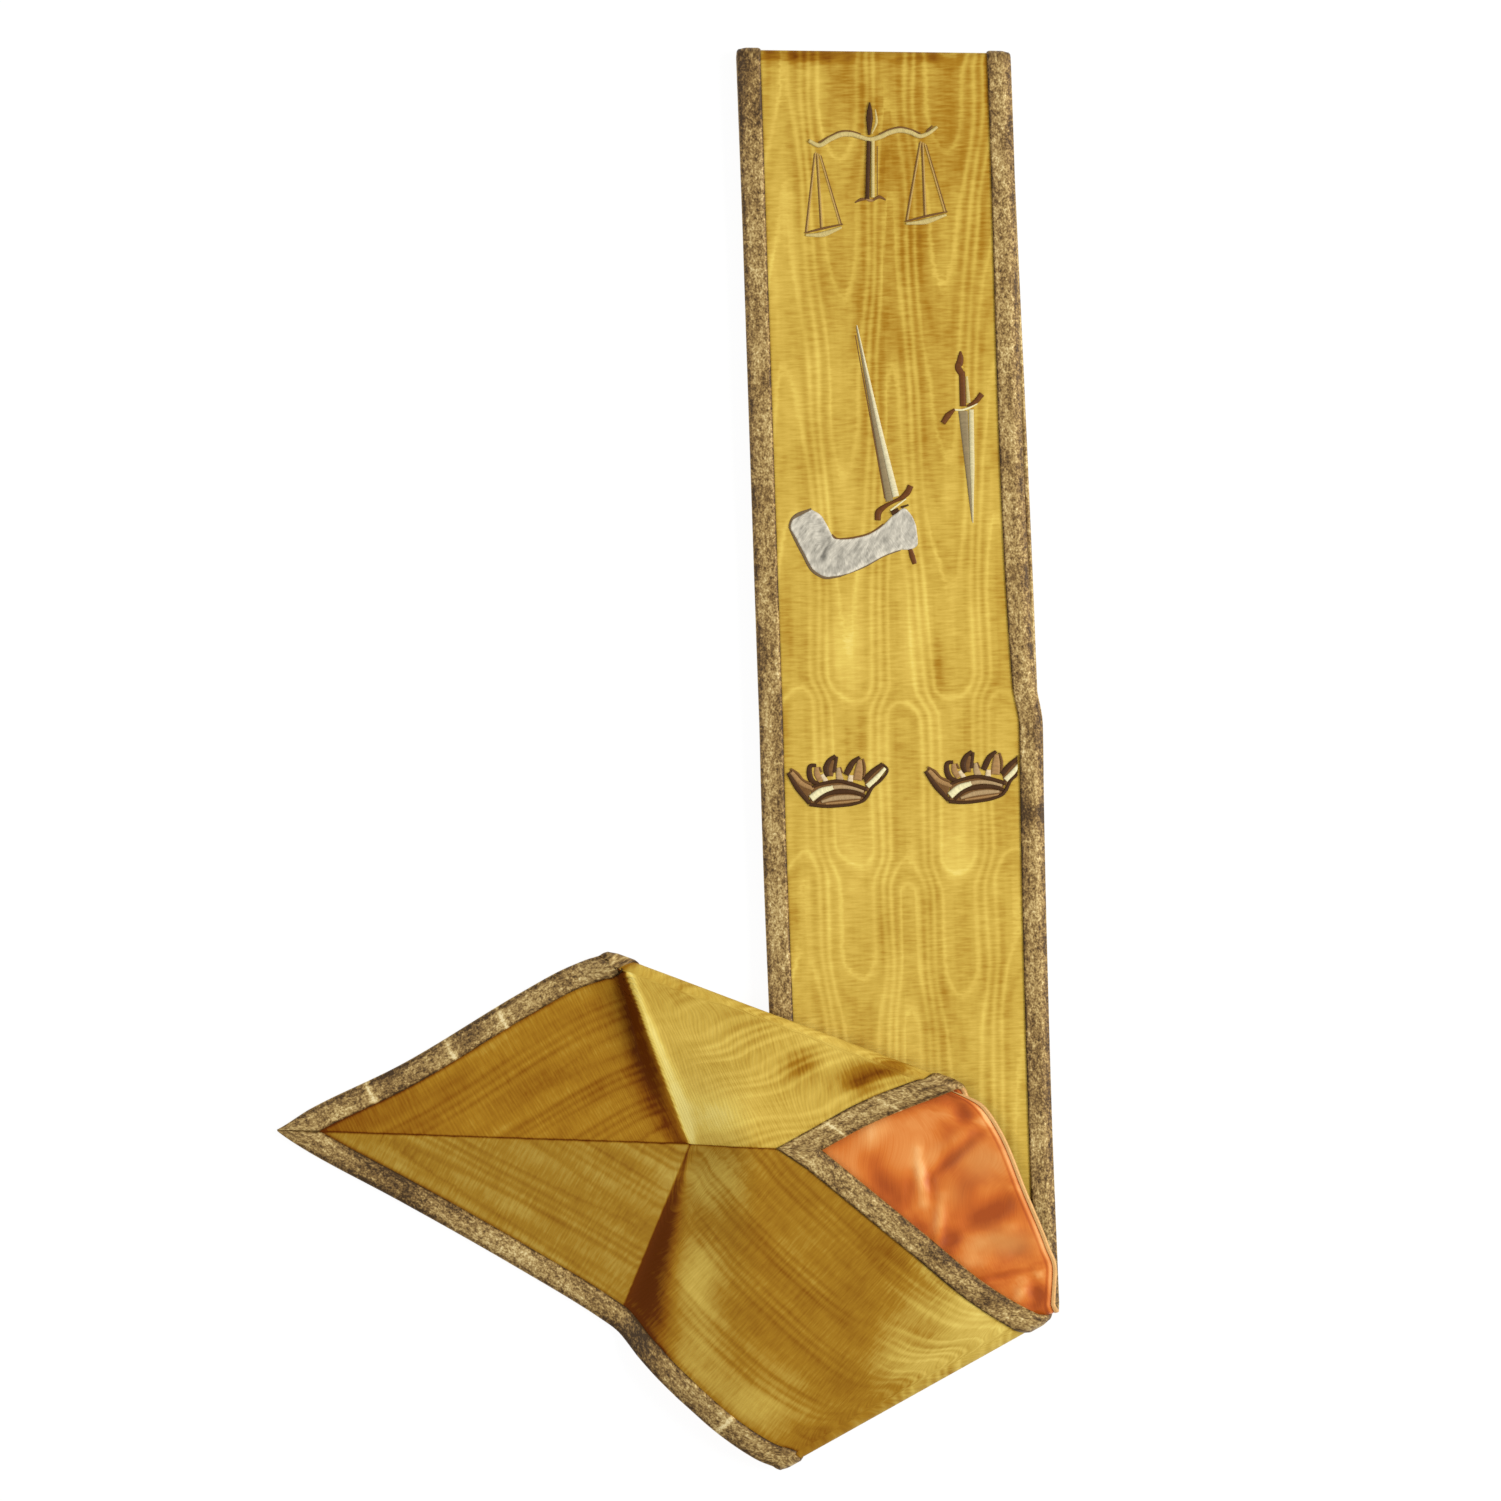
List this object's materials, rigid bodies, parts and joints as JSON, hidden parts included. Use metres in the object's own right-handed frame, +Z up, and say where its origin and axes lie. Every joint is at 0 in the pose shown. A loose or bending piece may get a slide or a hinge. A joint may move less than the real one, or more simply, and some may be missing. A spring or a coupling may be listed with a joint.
{
  "type": "ceremonial sash",
  "caption": "Wide moire ribbon sash with a mitred point, metal lace edges, satin lining and raised embroidery, laid flat and folded.",
  "frame": {"origin": "on the floor under the middle of the folded sash's box", "axes": "+Z up from the floor, +Y along the front strip towards the neck fold, -X towards the mitred point"},
  "size_m": [0.2932, 0.5342, 0.0197],
  "materials": {
    "moire": "yellow-gold moire silk",
    "satin": "orange satin",
    "metal_lace": "antique-gold woven metal lace",
    "cream_thread": "cream and brown silk thread, padded",
    "silver_thread": "silver-grey brocade and thread",
    "brown_thread": "brown and cream silk thread, padded",
    "tan_thread": "tan and cream silk thread, padded"
  },
  "bodies": {
    "root": {"ribbon": "moire", "lining": "satin", "lace_outer": "metal_lace", "lace_inner": "metal_lace", "scales": "cream_thread", "arm": "silver_thread", "sword": "brown_thread", "sword_pommel": "brown_thread", "dagger": "brown_thread", "crown_left": "tan_thread", "crown_right": "tan_thread"}
  },
  "joints": []
}
